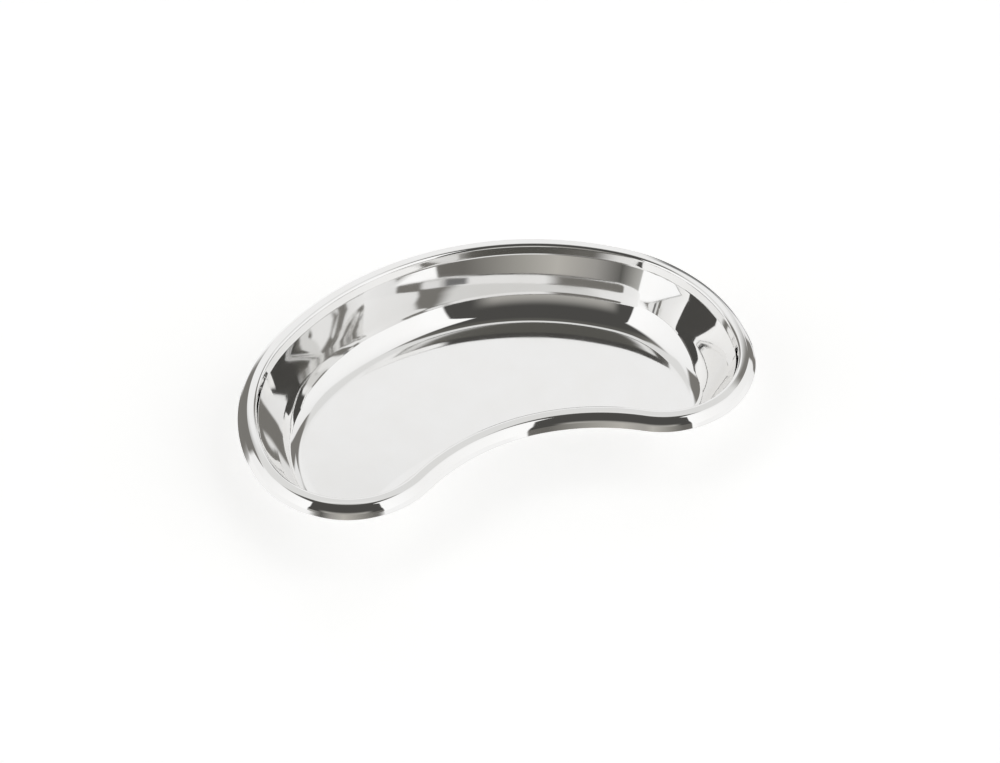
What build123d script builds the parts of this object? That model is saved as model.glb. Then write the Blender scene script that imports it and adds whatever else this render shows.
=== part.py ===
from build123d import *
from math import acos, asin, atan2, cos, degrees, hypot, radians, sin, sqrt, tan
import os

# A kidney dish, also called an emesis basin: one stainless steel pressing with a
# flat floor, a leaning wall, a short upright neck, and a rim that is turned out
# and down. It has no second piece and nothing on it moves.
# Millimetres, +Z up. The origin is at the middle of the dish's bounding box, on
# the surface that it stands on. The hollow side of the kidney faces -Y.

# Overall sizes, measured over the rim
LENGTH = 250.0
WIDTH = 148.0
HEIGHT = 34.0
WAIST_DEPTH = 21.5      # how far the front curves in at its middle

# The sheet
SHEET = 0.8

# The plan of the rim's inner edge, which is the reference line of the outline.
# The back's and the front's radii follow from these and from the overall sizes.
BACK_TURN = 36.87       # degrees that the back's arc turns on each side of its middle
SHOULDER_RADIUS = 74.0
LOBE_RADIUS = 38.8

# The cross-section, from the floor out to the rim's cut edge.
# Lengths across the section are plan distances, square to the outline.
WALL_INSET = 21.0       # from the rim's inner edge in to the flat floor's edge
FLOOR_FILLET = 8.0      # inside radius between the floor and the wall
KNEE_INSET = 11.2       # the wall's slow bend, where its foot starts to lean in further
KNEE_HEIGHT = 7.7       # that bend's height above the floor's upper face
KNEE_RADIUS = 40.0
NECK_HEIGHT = 5.5       # upright band under the rim
NECK_INSET = 1.0        # how far the neck's foot lies inside its top
CREASE_RADIUS = 3.0     # bend between the wall and the neck
UNDER_BEND = 0.7        # inside radius of the bend between the neck and the land
INNER_BEND = SHEET + UNDER_BEND
LAND_WIDTH = 4.5        # the nearly flat top of the rim
LAND_FALL = 0.7         # how much lower the land is at its outer edge
OUTER_BEND = 1.8        # outside radius of the bend between the land and the skirt
SKIRT_WIDTH = 3.9       # plan width of the skirt below the outer bend
SKIRT_DROP = 5.7        # height of the skirt
SKIRT_BULGE = 0.5       # how far the skirt's middle stands out from its chord
SKIRT_RADIUS = 6.0      # bend that rounds the bulge

OVERHANG = LAND_WIDTH + SKIRT_WIDTH
FLOOR_LAP = 2.0         # how far the rim pieces reach in over the flat floor


def mitre(previous, corner, following, distance):
    """The corner moved by `distance` to the right of the way previous-corner-following."""
    way_in = Vector(corner[0] - previous[0], corner[1] - previous[1]).normalized()
    way_out = Vector(following[0] - corner[0], following[1] - corner[1]).normalized()
    right_in = Vector(way_in.Y, -way_in.X)
    right_out = Vector(way_out.Y, -way_out.X)
    bisector = (right_in + right_out).normalized()
    reach = distance / bisector.dot(right_in)
    return (corner[0] + bisector.X * reach, corner[1] + bisector.Y * reach)


def parallel(corners, distance):
    """The open line through the corners, moved by `distance` to its right."""
    first, last = corners[0], corners[-1]
    before = (2 * first[0] - corners[1][0], 2 * first[1] - corners[1][1])
    after = (2 * last[0] - corners[-2][0], 2 * last[1] - corners[-2][1])
    chain = [before, *corners, after]
    return [mitre(chain[i - 1], chain[i], chain[i + 1], distance) for i in range(1, len(chain) - 1)]


def turn_sign(previous, corner, following):
    """+1 where the line turns left at the corner, -1 where it turns right."""
    ax, ay = corner[0] - previous[0], corner[1] - previous[1]
    bx, by = following[0] - corner[0], following[1] - corner[1]
    return 1 if ax * by - ay * bx > 0 else -1


def section_corners():
    """Corners of the face side in (plan offset, height), and the radius at each bend."""
    # The rim's corner stands above the crown of its own bend, which is the dish's top
    bend_centre = mitre((-NECK_INSET, -NECK_HEIGHT), (0, 0), (LAND_WIDTH, -LAND_FALL), INNER_BEND)
    rim_z = HEIGHT - bend_centre[1] - INNER_BEND
    skirt_top = (LAND_WIDTH, rim_z - LAND_FALL)
    skirt_end = (OVERHANG, rim_z - LAND_FALL - SKIRT_DROP)
    chord = hypot(SKIRT_WIDTH, SKIRT_DROP)
    skirt_middle = (
        (skirt_top[0] + skirt_end[0]) / 2 + SKIRT_BULGE * SKIRT_DROP / chord,
        (skirt_top[1] + skirt_end[1]) / 2 + SKIRT_BULGE * SKIRT_WIDTH / chord,
    )
    neck_foot = (-NECK_INSET, rim_z - NECK_HEIGHT)
    # The wall's foot is a straight line from the knee that meets the fillet at a tangent
    knee = (-KNEE_INSET, SHEET + KNEE_HEIGHT)
    centre = (-WALL_INSET, SHEET + FLOOR_FILLET)
    run = knee[0] - centre[0]
    rise = knee[1] - centre[1]
    slope = atan2(rise, run) + asin(FLOOR_FILLET / hypot(run, rise))
    wall_foot = (knee[0] - KNEE_HEIGHT / tan(slope), SHEET)
    corners = [
        (-WALL_INSET - FLOOR_LAP, SHEET),
        wall_foot,
        knee,
        neck_foot,
        (0.0, rim_z),
        skirt_top,
        skirt_middle,
        skirt_end,
    ]
    radii = [FLOOR_FILLET, KNEE_RADIUS, CREASE_RADIUS, INNER_BEND, OUTER_BEND, SKIRT_RADIUS]
    return corners, radii


def section():
    """The sheet's cross-section, a closed face in (plan offset, height)."""
    corners, face_radii = section_corners()
    back_corners = parallel(corners, SHEET)
    back_radii = []
    for i, radius in enumerate(face_radii):
        turn = turn_sign(corners[i], corners[i + 1], corners[i + 2])
        back_radii.append(radius + SHEET * turn)
    face_side = FilletPolyline(*corners, radius=face_radii)
    back_side = FilletPolyline(*back_corners, radius=back_radii)
    floor_end = Line(corners[0], back_corners[0])
    cut_edge = Line(corners[-1], back_corners[-1])
    outline = Wire([*face_side.edges(), *back_side.edges(), floor_end, cut_edge])
    return Face(outline)


def back_to_shoulder(half, back_y, lobe_y):
    """Distance from the centre of the back's arc to the centre of a shoulder's arc.

    It is the one that makes the dish as long as it should be, whether it is widest
    on its shoulders or, as on a slimmer dish, on its lobes.
    """
    across = sin(radians(BACK_TURN))
    fall = 1 - cos(radians(BACK_TURN))
    step = (half - SHOULDER_RADIUS) / across
    if back_y - SHOULDER_RADIUS - step * fall >= lobe_y:
        return step
    # The shoulder's arc meets a lobe whose centre lies one lobe radius inside the end
    reach_x = half - LOBE_RADIUS
    reach_y = lobe_y - back_y + SHOULDER_RADIUS
    spare = reach_x**2 + reach_y**2 - (SHOULDER_RADIUS - LOBE_RADIUS) ** 2
    middle = reach_x * across - reach_y * fall
    return (middle - sqrt(middle**2 - 2 * fall * spare)) / (2 * fall)


def outline_arcs():
    """The outline's arcs as (centre x, centre y, radius, start, sweep) in plan.

    Angles are in degrees from +X, anticlockwise. A negative radius is the front,
    whose centre lies outside the dish.
    """
    back_y = WIDTH / 2 - OVERHANG
    half = LENGTH / 2 - OVERHANG
    lobe_y = -WIDTH / 2 + OVERHANG + LOBE_RADIUS
    shoulder_step = back_to_shoulder(half, back_y, lobe_y)
    back_radius = SHOULDER_RADIUS + shoulder_step
    back_centre = (0.0, back_y - back_radius)
    shoulder_centre = (
        shoulder_step * sin(radians(BACK_TURN)),
        back_centre[1] + shoulder_step * cos(radians(BACK_TURN)),
    )
    lobe_step = SHOULDER_RADIUS - LOBE_RADIUS
    lobe_turn = acos((lobe_y - shoulder_centre[1]) / lobe_step)
    lobe_centre = (shoulder_centre[0] + lobe_step * sin(lobe_turn), lobe_y)
    # The front arc touches both lobes and passes through the middle of the waist
    waist_y = -WIDTH / 2 + WAIST_DEPTH + OVERHANG
    lift = lobe_y - waist_y
    front_radius = (lobe_centre[0] ** 2 + lift**2 - LOBE_RADIUS**2) / (2 * (LOBE_RADIUS - lift))
    front_centre = (0.0, waist_y - front_radius)
    front_turn = atan2(lobe_centre[0], lobe_y - front_centre[1])

    lobe_deg = degrees(lobe_turn)
    front_deg = degrees(front_turn)
    arcs = [
        (*back_centre, back_radius, 90 - BACK_TURN, 2 * BACK_TURN),
        (*front_centre, -front_radius, 90 - front_deg, 2 * front_deg),
    ]
    for side in (1, -1):
        shoulder_start = 90 - lobe_deg if side > 0 else 90 + BACK_TURN
        lobe_start = -90 - front_deg if side > 0 else 90 + lobe_deg
        arcs.append((side * shoulder_centre[0], shoulder_centre[1], SHOULDER_RADIUS,
                     shoulder_start, lobe_deg - BACK_TURN))
        arcs.append((side * lobe_centre[0], lobe_centre[1], LOBE_RADIUS,
                     lobe_start, 180 + front_deg - lobe_deg))
    return arcs


def rim_piece(profile, arc):
    """The cross-section swept round one arc of the outline."""
    x, y, radius, start, sweep = arc
    upright = Plane(origin=(x, y, 0), x_dir=(cos(radians(start)), sin(radians(start)), 0),
                    z_dir=(sin(radians(start)), -cos(radians(start)), 0))
    if radius > 0:
        placed = upright * Pos(radius, 0) * profile
    else:
        placed = upright * Pos(-radius, 0) * mirror(profile, about=Plane.YZ)
    return revolve(placed, axis=Axis((x, y, 0), (0, 0, 1)), revolution_arc=sweep)


def floor_plate():
    """The flat floor inside the rim pieces."""
    inset = WALL_INSET + FLOOR_LAP
    edges = []
    for x, y, radius, start, sweep in outline_arcs():
        edge_radius = radius - inset if radius > 0 else -radius + inset
        edges.append(CenterArc((x, y), edge_radius, start, sweep))
    return extrude(make_face(Wire(edges)), SHEET)


def kidney_dish():
    """The whole pressing, one solid."""
    profile = section()
    dish = floor_plate()
    for arc in outline_arcs():
        dish += rim_piece(profile, arc)
    return dish.clean()


os.makedirs("parts", exist_ok=True)
export_step(kidney_dish(), "parts/kidney_dish.step")
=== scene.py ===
from math import acos, asin, atan2, cos, degrees, pi, radians, sin, tan

import bmesh
import bpy
from mathutils import Matrix, Vector


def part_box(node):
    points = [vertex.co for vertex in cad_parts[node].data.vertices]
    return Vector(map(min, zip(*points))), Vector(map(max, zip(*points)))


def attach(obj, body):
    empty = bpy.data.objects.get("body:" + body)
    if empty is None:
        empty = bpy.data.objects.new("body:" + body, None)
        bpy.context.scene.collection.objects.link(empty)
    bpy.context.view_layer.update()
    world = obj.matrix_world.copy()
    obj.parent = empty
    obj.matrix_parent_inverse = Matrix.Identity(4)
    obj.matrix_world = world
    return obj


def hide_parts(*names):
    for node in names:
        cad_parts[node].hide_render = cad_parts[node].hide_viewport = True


# A kidney dish: one mirror-polished stainless steel pressing, with a flat floor, a
# leaning wall, a short upright neck and a rim that is turned out and down.

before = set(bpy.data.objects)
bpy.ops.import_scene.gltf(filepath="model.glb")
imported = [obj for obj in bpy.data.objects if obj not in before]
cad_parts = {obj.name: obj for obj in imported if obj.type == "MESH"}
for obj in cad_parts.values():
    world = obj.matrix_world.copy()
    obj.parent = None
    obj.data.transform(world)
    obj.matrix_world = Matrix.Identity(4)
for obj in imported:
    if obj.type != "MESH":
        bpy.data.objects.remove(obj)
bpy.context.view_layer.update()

MM = 0.001
CAD_NODE = "kidney_dish"
dish_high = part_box(CAD_NODE)[1]

# Overall sizes of the pressing, from the frame
LENGTH = 2 * dish_high.x
WIDTH = 2 * dish_high.y
HEIGHT = dish_high.z

# Plan sizes that the frame doesn't state
WAIST_DEPTH = 21.5 * MM
BACK_TURN = radians(36.87)
SHOULDER_RADIUS = 74.0 * MM
LOBE_RADIUS = 38.8 * MM

# The sheet and its cross-section, from the floor out to the rim's cut edge
SHEET = 0.8 * MM
WALL_INSET = 21.0 * MM
FLOOR_FILLET = 8.0 * MM
KNEE_INSET = 11.2 * MM
KNEE_HEIGHT = 7.7 * MM
KNEE_RADIUS = 40.0 * MM
NECK_HEIGHT = 5.5 * MM
NECK_INSET = 1.0 * MM
CREASE_RADIUS = 3.0 * MM
UNDER_BEND = 0.7 * MM
INNER_BEND = SHEET + UNDER_BEND
LAND_WIDTH = 4.5 * MM
LAND_FALL = 0.7 * MM
OUTER_BEND = 1.8 * MM
SKIRT_WIDTH = 3.9 * MM
SKIRT_DROP = 5.7 * MM
SKIRT_BULGE = 0.5 * MM
SKIRT_RADIUS = 6.0 * MM
EDGE_BREAK = 0.12 * MM      # the deburred corners of the cut edge
OVERHANG = LAND_WIDTH + SKIRT_WIDTH
FLOOR_LAP = 2.0 * MM        # flat floor that is spun together with the wall

# Facets, fine enough for clean reflections
DEGREES_PER_STEP = 1.5
DEGREES_PER_FACET = 6.0
MIN_FACETS = 5
LONG_EDGE = 2.5 * MM        # an edge of the section longer than this is cut up
STRAIGHT_CUTS = 5
MERGE_DISTANCE = 0.001 * MM


# ---------------------------------------------------------------- the pressing

def mitre(previous, corner, following, distance):
    """The corner moved by `distance` to the right of the way previous-corner-following."""
    way_in = (corner - previous).normalized()
    way_out = (following - corner).normalized()
    right_in = Vector((way_in.y, -way_in.x))
    right_out = Vector((way_out.y, -way_out.x))
    bisector = (right_in + right_out).normalized()
    return corner + bisector * (distance / bisector.dot(right_in))


def parallel(corners, distance):
    """The open line through the corners, moved by `distance` to its right."""
    before = 2 * corners[0] - corners[1]
    after = 2 * corners[-1] - corners[-2]
    chain = [before, *corners, after]
    return [mitre(chain[i - 1], chain[i], chain[i + 1], distance) for i in range(1, len(chain) - 1)]


def face_side():
    """Corners of the sheet's upper and inner side in (plan offset, height), with bend radii."""
    origin = Vector((0, 0))
    neck_run = Vector((NECK_INSET, NECK_HEIGHT))
    land_run = Vector((LAND_WIDTH, -LAND_FALL))
    rim_z = HEIGHT - INNER_BEND - mitre(-neck_run, origin, land_run, INNER_BEND).y
    rim_corner = Vector((0, rim_z))
    neck_foot = rim_corner - neck_run
    skirt_top = rim_corner + land_run
    skirt_run = Vector((SKIRT_WIDTH, -SKIRT_DROP))
    outwards = Vector((SKIRT_DROP, SKIRT_WIDTH)).normalized()
    skirt_middle = skirt_top + skirt_run / 2 + outwards * SKIRT_BULGE
    knee = Vector((-KNEE_INSET, SHEET + KNEE_HEIGHT))
    reach = knee - Vector((-WALL_INSET, SHEET + FLOOR_FILLET))
    slope = atan2(reach.y, reach.x) + asin(FLOOR_FILLET / reach.length)
    wall_foot = Vector((knee.x - KNEE_HEIGHT / tan(slope), SHEET))
    floor_end = Vector((-WALL_INSET - FLOOR_LAP, SHEET))
    corners = [floor_end, wall_foot, knee, neck_foot, rim_corner,
               skirt_top, skirt_middle, skirt_top + skirt_run]
    radii = [FLOOR_FILLET, KNEE_RADIUS, CREASE_RADIUS, INNER_BEND, OUTER_BEND, SKIRT_RADIUS]
    return corners, radii


def bend_of(previous, corner, following):
    """The turn at a corner in radians, positive to the left."""
    return (corner - previous).angle_signed(following - corner) * -1


def section_line():
    """The closed side of the sheet's section as corners with a bend radius at each.

    It runs up the face side, round the cut edge and back along the underside.
    """
    corners, radii = face_side()
    under = parallel(corners, SHEET)
    under_radii = []
    for i, radius in enumerate(radii):
        turn = bend_of(corners[i], corners[i + 1], corners[i + 2])
        under_radii.append(radius + (SHEET if turn > 0 else -SHEET))
    points = corners + under[::-1]
    bends = [0, *radii, EDGE_BREAK, EDGE_BREAK, *under_radii[::-1], 0]
    return points, bends


def add_section(bm, place):
    """Draws the section in the plane that place(offset, height) gives, and rounds its bends."""
    points, bends = section_line()
    verts = [bm.verts.new(place(p.x, p.y)) for p in points]
    for first, second in zip(verts, verts[1:]):
        bm.edges.new((first, second))
    for i in range(1, len(points) - 1):
        turn = abs(bend_of(points[i - 1], points[i], points[i + 1]))
        facets = max(MIN_FACETS, round(degrees(turn) / DEGREES_PER_FACET))
        bmesh.ops.bevel(bm, geom=[verts[i]], offset=bends[i] * tan(turn / 2), offset_type="OFFSET",
                        segments=facets, profile=0.5, affect="VERTICES", material=-1)
    straights = [e for e in bm.edges if e.calc_length() > LONG_EDGE]
    bmesh.ops.subdivide_edges(bm, edges=straights, cuts=STRAIGHT_CUTS)


def outline_turns():
    """The arcs of the outline, clockwise from the back's middle, as (centre, signed turn)."""
    back_y = WIDTH / 2 - OVERHANG
    half = LENGTH / 2 - OVERHANG
    shoulder_step = (half - SHOULDER_RADIUS) / sin(BACK_TURN)
    back = Vector((0, back_y - SHOULDER_RADIUS - shoulder_step, 0))
    shoulder = back + Vector((sin(BACK_TURN), cos(BACK_TURN), 0)) * shoulder_step
    lobe_step = SHOULDER_RADIUS - LOBE_RADIUS
    lobe_y = -WIDTH / 2 + OVERHANG + LOBE_RADIUS
    lobe_turn = acos((lobe_y - shoulder.y) / lobe_step)
    lobe = Vector((shoulder.x + lobe_step * sin(lobe_turn), lobe_y, 0))
    waist_y = -WIDTH / 2 + WAIST_DEPTH + OVERHANG
    lift = lobe_y - waist_y
    front_radius = (lobe.x**2 + lift**2 - LOBE_RADIUS**2) / (2 * (LOBE_RADIUS - lift))
    front = Vector((0, waist_y - front_radius, 0))
    front_turn = atan2(lobe.x, lobe_y - front.y)

    right = [
        (back, -BACK_TURN),
        (shoulder, BACK_TURN - lobe_turn),
        (lobe, lobe_turn - pi - front_turn),
        (front, front_turn),
    ]
    flip = Vector((-1, 1, 1))
    left = [(centre * flip, turn) for centre, turn in reversed(right)]
    return right + left


def kidney_pressing():
    """The dish as one closed mesh: the section spun about each arc's centre in turn."""
    bm = bmesh.new()
    back_y = WIDTH / 2 - OVERHANG
    add_section(bm, lambda offset, height: (0, back_y + offset, height))
    line = bm.verts[:] + bm.edges[:]
    for centre, turn in outline_turns():
        steps = max(2, round(abs(degrees(turn)) / DEGREES_PER_STEP))
        spun = bmesh.ops.spin(bm, geom=line, cent=centre, axis=(0, 0, 1), angle=turn, steps=steps,
                              use_merge=False, use_duplicate=False)
        line = spun["geom_last"]
    bmesh.ops.remove_doubles(bm, verts=bm.verts, dist=MERGE_DISTANCE)
    floor_rims = [e for e in bm.edges if e.is_boundary]
    bmesh.ops.holes_fill(bm, edges=floor_rims, sides=0)
    floors = [f for f in bm.faces if len(f.verts) > 4]
    bmesh.ops.triangulate(bm, faces=floors)
    bmesh.ops.recalc_face_normals(bm, faces=bm.faces)
    for face in bm.faces:
        face.smooth = True
    mesh = bpy.data.meshes.new("dish_pressing")
    bm.to_mesh(mesh)
    bm.free()
    dish = bpy.data.objects.new("dish_pressing", mesh)
    bpy.context.scene.collection.objects.link(dish)
    return dish


# ---------------------------------------------------------------- materials

def linear(hex_colour):
    """An sRGB hex colour as linear RGBA."""
    channels = [int(hex_colour[i:i + 2], 16) / 255 for i in (1, 3, 5)]
    return [c / 12.92 if c <= 0.04045 else ((c + 0.055) / 1.055) ** 2.4 for c in channels] + [1.0]


def new_material(name):
    """An empty node material with its node tree."""
    material = bpy.data.materials.new(name)
    material.use_nodes = True
    material.node_tree.nodes.clear()
    return material, material.node_tree


def add(tree, kind, settings=None, *sources, **links):
    """Adds a node with its settings, and feeds its sockets in order or by name.

    A setting is an attribute, or a value set on the socket of that name. A source is
    another node's output, or a plain value. In a name, "_" stands for a space.
    """
    node = tree.nodes.new(kind)
    for key, value in (settings or {}).items():
        if hasattr(node, key):
            setattr(node, key, value)
        else:
            node.inputs[key].default_value = value
    feeds = list(zip(node.inputs, sources))
    feeds += [(node.inputs[name.replace("_", " ")], source) for name, source in links.items()]
    for socket, source in feeds:
        if isinstance(source, bpy.types.NodeSocket):
            tree.links.new(source, socket)
        else:
            socket.default_value = source
    return node


# The steel's unevenness
SWELL_LENGTH = 30 * MM
SWELL_DEPTH = 0.06 * MM
BUFFING_PITCH = 0.4 * MM    # the real lines are 0.02 mm apart, too fine to show
BUFFING_DEPTH = 0.01 * MM
BUFFING_STRETCH = 0.06      # how much slower the lines change along the dish
DULL_PATCH = 18 * MM
POLISH = (0.02, 0.05)       # roughness where the steel is brightest and dullest
PATCH_SPREAD = (0.3, 0.7)   # the pattern's values in the brightest and the dullest patches
FLOOR_WEAR = 0.02           # how much rougher the flat floor is
WEAR_HEIGHTS = (SHEET + 0.4 * MM, SHEET - 0.1 * MM)     # from no floor wear to all of it

# The table top's grain
GRAIN_SIZE = 1.5 * MM
GRAIN_DEPTH = 0.02 * MM
TABLE_LIFT = 0.5            # what the table top lacks to be white in the dim room


def mirror_polished_steel():
    """Stainless steel sheet, pressed and buffed to a mirror.

    The eye gets crisp reflections that swim a little where the pressing left the wall
    uneven, a veil of fine buffing lines, and a floor that use has made slightly satin.
    """
    material, tree = new_material("mirror_polished_stainless_steel")
    place = add(tree, "ShaderNodeTexCoord").outputs["Object"]

    # The pressed sheet is never quite even, and swells slowly
    swells = add(tree, "ShaderNodeTexNoise", {"Scale": 1 / SWELL_LENGTH, "Detail": 1.0, "Roughness": 0.4},
                 Vector=place)
    swell_bump = add(tree, "ShaderNodeBump", {"Strength": 1.0, "Distance": SWELL_DEPTH},
                     Height=swells.outputs[0])

    # Buffing lines along the dish, drawn coarser than the real ones
    along = add(tree, "ShaderNodeMapping", {"Scale": (BUFFING_STRETCH, 1.0, 1.0)}, Vector=place)
    lines = add(tree, "ShaderNodeTexNoise", {"Scale": 1 / BUFFING_PITCH, "Detail": 2.0, "Roughness": 0.6},
                Vector=along.outputs[0])
    line_bump = add(tree, "ShaderNodeBump", {"Strength": 0.06, "Distance": BUFFING_DEPTH},
                    Height=lines.outputs[0], Normal=swell_bump.outputs[0])

    # Cleaning has dulled it in patches, and the flat floor more than the wall
    patches = add(tree, "ShaderNodeTexNoise", {"Scale": 1 / DULL_PATCH, "Detail": 3.0, "Roughness": 0.55},
                  Vector=place)
    height = add(tree, "ShaderNodeSeparateXYZ", None, place).outputs["Z"]
    on_floor = add(tree, "ShaderNodeMapRange", {"interpolation_type": "SMOOTHSTEP"},
                   height, *WEAR_HEIGHTS, 0.0, FLOOR_WEAR)
    dulled = add(tree, "ShaderNodeMapRange", None, patches.outputs[0], *PATCH_SPREAD, *POLISH)
    roughness = add(tree, "ShaderNodeMath", {"operation": "ADD"}, dulled.outputs[0], on_floor.outputs[0])

    # The steel is a trace warmer where it is duller
    tint = add(tree, "ShaderNodeMixRGB", None, patches.outputs[0], linear("#F5F5F5"), linear("#F1F0EE"))
    steel = add(tree, "ShaderNodeBsdfPrincipled", {"Metallic": 1.0},
                Base_Color=tint.outputs[0], Roughness=roughness.outputs[0],
                Normal=line_bump.outputs[0])
    add(tree, "ShaderNodeOutputMaterial", Surface=steel.outputs["BSDF"])
    return material


def white_laminate():
    """A matt white pressed laminate.

    The eye gets a faint grain and no gloss. The camera sees it as white, apart from the
    dish's shadow, because the room is too dim to light it that far.
    """
    material, tree = new_material("matt_white_laminate")
    place = add(tree, "ShaderNodeTexCoord").outputs["Object"]
    grain = add(tree, "ShaderNodeTexNoise", {"Scale": 1 / GRAIN_SIZE, "Detail": 2.0}, Vector=place)
    bump = add(tree, "ShaderNodeBump", {"Strength": 0.1, "Distance": GRAIN_DEPTH}, Height=grain.outputs[0])
    matt = add(tree, "ShaderNodeBsdfDiffuse", {"Color": linear("#F4F4F3")}, Normal=bump.outputs[0])
    camera_ray = add(tree, "ShaderNodeLightPath").outputs["Is Camera Ray"]
    lift = add(tree, "ShaderNodeMath", {"operation": "MULTIPLY"}, camera_ray, TABLE_LIFT)
    glow = add(tree, "ShaderNodeEmission", {"Color": linear(WHITE)}, Strength=lift.outputs[0])
    both = add(tree, "ShaderNodeAddShader", None, matt.outputs[0], glow.outputs[0])
    add(tree, "ShaderNodeOutputMaterial", Surface=both.outputs[0])
    return material


# ---------------------------------------------------------------- the studio

# The steel mirrors the studio, so the room is drawn in directions as the dish sees them.
# A direction has length 1 and parts across (to the right), behind (away) and up, seen
# along this turn of the dish. A soft edge is given as (nothing, everything).
STUDIO_TURN = radians(22)

# The dim room
FRONT = "#4D4C4A"
FRONT_GLOW = "#ACAAA5"
REAR_LEFT = "#7D7B77"
REAR_RIGHT = "#7F7D79"
REAR_CEILING = "#5C5B57"
REAR_EDGE = (-0.15, 0.15)           # behind
RIGHT_EDGE = (-0.1, 0.1)            # across
CEILING_EDGE = (0.90, 0.98)         # up
GLOW_SIDES = (0.45, 0.30)           # across, on either side
GLOW_TOP = (0.47, 0.24)             # up

# The low strip of the room in front, from left to right: (degrees, colour)
ROOM_STRIP = [
    (-62, "#F2F2F1"),
    (-46, "#D8D8D6"),
    (-33, "#A4A39F"),
    (-23, "#5E5D5A"),
    (-14, "#9E9C98"),
    (-2, "#BAB7B1"),
    (9, "#A3A19B"),
    (28, "#6E6C68"),
]
STRIP_TOP = sin(radians(10.3))
STRIP_SOFTNESS = 0.008
STRIP_END = (0.0, -0.2)             # behind

# Two upright light panels beside the dish, in heights and lengths over their distance:
# (side, top, the top's rise to the back, its softness, foot, slant's rise, its start).
# A panel reaches down to the table as far back as its foot, and then ends on a slant.
PANELS = [
    (1, 2.75, 0.0, 0.15, 0.80, 1.74, 0.06),
    (-1, 1.78, 0.33, 0.30, 0.33, 1.17, 0.45),
]
PANEL_FRONT = 1.33                  # how far a panel reaches towards the camera
FRONT_SOFTNESS = 0.03
FOOT_SOFTNESS = 0.04
SLANT_SOFTNESS = 0.09
PANEL_LEVELS = (-1.0, 1.0, 1.08, 0.88)      # from the front's brightness to the back's
NEAREST = 0.001                     # keeps the lengths finite straight ahead

# Upright things behind: (left edge, right edge, top, softness in degrees, brightness)
BEHIND = [
    (-29, 24, 71.5, 5, 0.93),       # the white backdrop
    (11, 23, 28, 2, 0.19),          # a dark stand before it
    (25, 36, 33, 2, 0.86),          # a white card beside it
]

# The white arch overhead, which joins the panels behind the dish
ARCH = "#E4E4E3"
ARCH_FOOT = (0.74, 0.80)            # up
ARCH_TOP = (0.945, 0.925)           # up
ARCH_FRONT = (0.14, 0.28)           # behind

# The table, in reflections and as the camera sees it
WHITE = "#FFFFFF"
HORIZON = (0.012, -0.004)           # up
TABLE_END = (0.45, 0.15)            # behind
TABLE_SIZE = 6.0


def inside(tree, soft_edges):
    """How far a direction lies inside soft edges, from 0 to 1: (measure, (nothing, everything))."""
    amount = 1.0
    for measure, (nothing, everything) in soft_edges:
        edge = add(tree, "ShaderNodeMapRange", {"interpolation_type": "SMOOTHSTEP"},
                   measure, nothing, everything)
        amount = add(tree, "ShaderNodeMath", {"operation": "MULTIPLY"},
                     edge.outputs[0], amount).outputs[0]
    return amount


def dim_room(tree, across, behind, up):
    """Dark in front and overhead, greyer behind, with a glow low in front."""
    on_right = inside(tree, [(across, RIGHT_EDGE)])
    rear = add(tree, "ShaderNodeMixRGB", None, on_right, linear(REAR_LEFT), linear(REAR_RIGHT))
    overhead = inside(tree, [(up, CEILING_EDGE)])
    rear = add(tree, "ShaderNodeMixRGB", None, overhead, rear.outputs[0], linear(REAR_CEILING))
    off_centre = add(tree, "ShaderNodeMath", {"operation": "ABSOLUTE"}, across)
    glow = inside(tree, [(off_centre.outputs[0], GLOW_SIDES), (up, GLOW_TOP)])
    front = add(tree, "ShaderNodeMixRGB", None, glow, linear(FRONT), linear(FRONT_GLOW))
    at_rear = inside(tree, [(behind, REAR_EDGE)])
    return add(tree, "ShaderNodeMixRGB", None, at_rear, front.outputs[0], rear.outputs[0]).outputs[0]


def with_front_strip(tree, room, across, behind, up):
    """The room with its low strip in front, which the skirt and the wall's foot mirror."""
    ahead = add(tree, "ShaderNodeMath", {"operation": "MULTIPLY"}, behind, -1.0)
    bearing = add(tree, "ShaderNodeMath", {"operation": "ARCTAN2"}, across, ahead.outputs[0])
    first, last = ROOM_STRIP[0][0], ROOM_STRIP[-1][0]
    place = add(tree, "ShaderNodeMapRange", None, bearing.outputs[0], radians(first), radians(last))
    strip = add(tree, "ShaderNodeValToRGB", None, place.outputs[0])
    stops = strip.color_ramp.elements
    while len(stops) < len(ROOM_STRIP):
        stops.new(0.5)
    for stop, (bearing_degrees, colour) in zip(stops, ROOM_STRIP):
        stop.position = (bearing_degrees - first) / (last - first)
        stop.color = linear(colour)
    top = (STRIP_TOP + STRIP_SOFTNESS, STRIP_TOP - STRIP_SOFTNESS)
    in_strip = inside(tree, [(up, top), (behind, STRIP_END)])
    return add(tree, "ShaderNodeMixRGB", None, in_strip, room, strip.outputs[0]).outputs[0]


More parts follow.
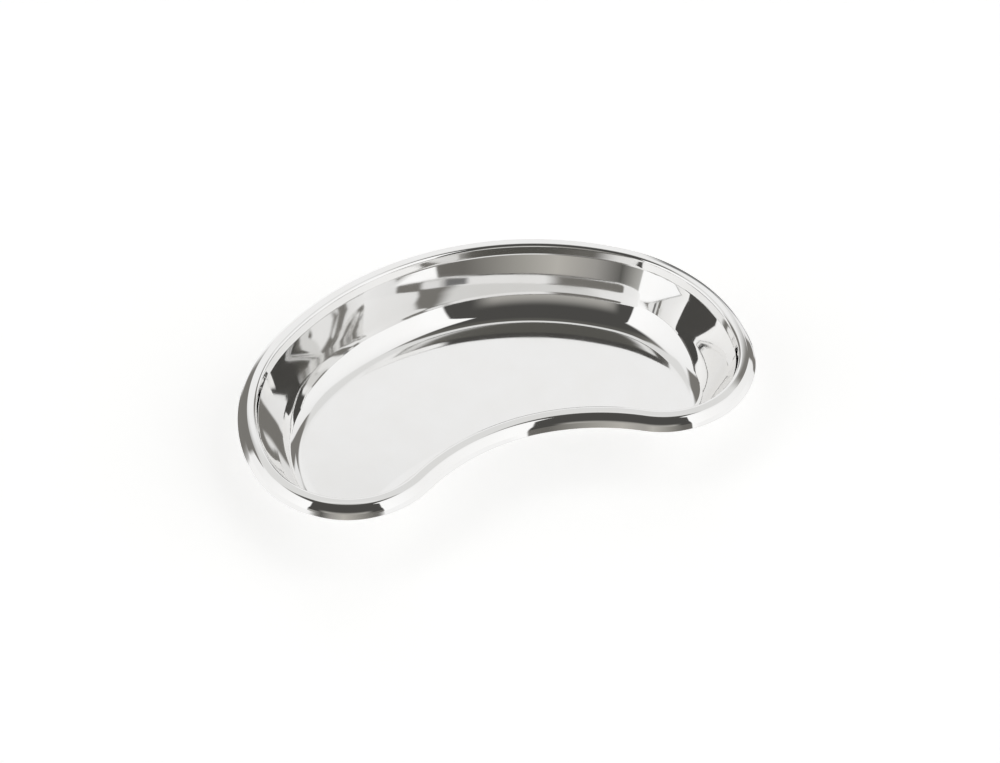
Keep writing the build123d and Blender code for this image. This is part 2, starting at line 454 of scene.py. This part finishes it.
def with_light_panel(tree, room, across, behind, up, panel):
    """The room with one light panel."""
    side, top, top_rise, softness, foot, rise, start = panel
    sideways = add(tree, "ShaderNodeMath", {"operation": "MULTIPLY"}, across, side)
    distance = add(tree, "ShaderNodeMath", {"operation": "MAXIMUM"}, sideways.outputs[0], NEAREST)
    length = add(tree, "ShaderNodeMath", {"operation": "DIVIDE"}, behind, distance.outputs[0])
    length = length.outputs[0]
    height = add(tree, "ShaderNodeMath", {"operation": "DIVIDE"}, up, distance.outputs[0])
    over_top = add(tree, "ShaderNodeMath", {"operation": "MULTIPLY_ADD"},
                   length, -top_rise, height.outputs[0])
    over_slant = add(tree, "ShaderNodeMath", {"operation": "MULTIPLY_ADD"},
                     length, -rise, height.outputs[0])
    before_foot = inside(tree, [(length, (foot + FOOT_SOFTNESS, foot - FOOT_SOFTNESS))])
    past_slant = inside(tree, [(over_slant.outputs[0], (start - SLANT_SOFTNESS, start + SLANT_SOFTNESS))])
    either = add(tree, "ShaderNodeMath", {"operation": "MAXIMUM"}, past_slant, before_foot)
    framed = inside(tree, [
        (length, (-PANEL_FRONT - FRONT_SOFTNESS, -PANEL_FRONT + FRONT_SOFTNESS)),
        (over_top.outputs[0], (top + softness, top - softness)),
    ])
    lit = add(tree, "ShaderNodeMath", {"operation": "MULTIPLY"}, either.outputs[0], framed)
    level = add(tree, "ShaderNodeMapRange", None, length, *PANEL_LEVELS)
    return add(tree, "ShaderNodeMixRGB", None, lit.outputs[0], room, level.outputs[0]).outputs[0]


def with_things_behind(tree, room, across, behind, up):
    """The room with the backdrop and what stands before it."""
    bearing = add(tree, "ShaderNodeMath", {"operation": "ARCTAN2"}, across, behind).outputs[0]
    for left, right, top, softness, level in BEHIND:
        seen = inside(tree, [
            (bearing, (radians(left - softness), radians(left + softness))),
            (bearing, (radians(right + softness), radians(right - softness))),
            (up, (sin(radians(top + softness / 2)), sin(radians(top - softness / 2)))),
        ])
        room = add(tree, "ShaderNodeMixRGB", None, seen, room, (level, level, level, 1.0)).outputs[0]
    return room


def studio_world():
    """A dim room with two tall light panels, a white backdrop and a white table.

    The camera sees plain white all round. Polished steel would vanish against it, so
    its reflections see the room.
    """
    world = bpy.data.worlds.new("studio")
    bpy.context.scene.world = world
    world.use_nodes = True
    tree = world.node_tree
    tree.nodes.clear()
    view = add(tree, "ShaderNodeTexCoord").outputs["Generated"]
    turned = add(tree, "ShaderNodeVectorRotate", {"rotation_type": "Z_AXIS", "Angle": STUDIO_TURN},
                 Vector=view)
    across, behind, up = add(tree, "ShaderNodeSeparateXYZ", None, turned.outputs[0]).outputs

    room = dim_room(tree, across, behind, up)
    room = with_front_strip(tree, room, across, behind, up)
    for panel in PANELS:
        room = with_light_panel(tree, room, across, behind, up, panel)
    room = with_things_behind(tree, room, across, behind, up)
    arch = inside(tree, [(up, ARCH_FOOT), (up, ARCH_TOP), (behind, ARCH_FRONT)])
    room = add(tree, "ShaderNodeMixRGB", None, arch, room, linear(ARCH)).outputs[0]
    # The table is white in front and beside, and behind the dish it mirrors the room
    table = inside(tree, [(up, HORIZON), (behind, TABLE_END)])
    room = add(tree, "ShaderNodeMixRGB", None, table, room, linear(WHITE)).outputs[0]

    camera_ray = add(tree, "ShaderNodeLightPath").outputs["Is Camera Ray"]
    seen = add(tree, "ShaderNodeMixRGB", None, camera_ray, room, linear(WHITE))
    light = add(tree, "ShaderNodeBackground", {"Strength": 1.0}, Color=seen.outputs[0])
    add(tree, "ShaderNodeOutputWorld", None, Surface=light.outputs["Background"])


def table_top():
    """The plain white table under the dish.

    It is hidden from reflections, which see the table that the studio draws.
    """
    bm = bmesh.new()
    bmesh.ops.create_grid(bm, x_segments=1, y_segments=1, size=TABLE_SIZE / 2)
    mesh = bpy.data.meshes.new("table_top")
    bm.to_mesh(mesh)
    bm.free()
    table = bpy.data.objects.new("table_top", mesh)
    table.data.materials.append(white_laminate())
    table.visible_glossy = False
    bpy.context.scene.collection.objects.link(table)


# The camera looks down on the open side of the dish from the front left
CAMERA_AZIMUTH = radians(-23.85)
CAMERA_ELEVATION = radians(47.57)
CAMERA_DISTANCE = 1476.7 * MM
CAMERA_TARGET = Vector((7.02 * MM, 9.75 * MM, 0))
CAMERA_LENS = 110.47        # in millimetres, on a sensor of this width
SENSOR_WIDTH = 36.0
CAMERA_ROLL = radians(2.93)
CAMERA_SHIFT = (0.0127, -0.0004)


def add_camera():
    """The camera, placed round the dish."""
    data = bpy.data.cameras.new("camera")
    data.sensor_width = SENSOR_WIDTH
    data.lens = CAMERA_LENS
    data.shift_x, data.shift_y = CAMERA_SHIFT
    camera = bpy.data.objects.new("camera", data)
    level = cos(CAMERA_ELEVATION)
    back = Vector((sin(CAMERA_AZIMUTH) * level, -cos(CAMERA_AZIMUTH) * level, sin(CAMERA_ELEVATION)))
    camera.location = CAMERA_TARGET + back * CAMERA_DISTANCE
    aim = (-back).to_track_quat("-Z", "Y").to_matrix()
    camera.rotation_euler = (aim @ Matrix.Rotation(CAMERA_ROLL, 3, "Z")).to_euler()
    bpy.context.scene.collection.objects.link(camera)
    bpy.context.scene.camera = camera


# ---------------------------------------------------------------- the scene

dish = kidney_pressing()
dish.data.materials.append(mirror_polished_steel())
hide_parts(CAD_NODE)
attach(dish, "root")

table_top()
studio_world()
add_camera()
bpy.context.scene.view_settings.view_transform = "Standard"
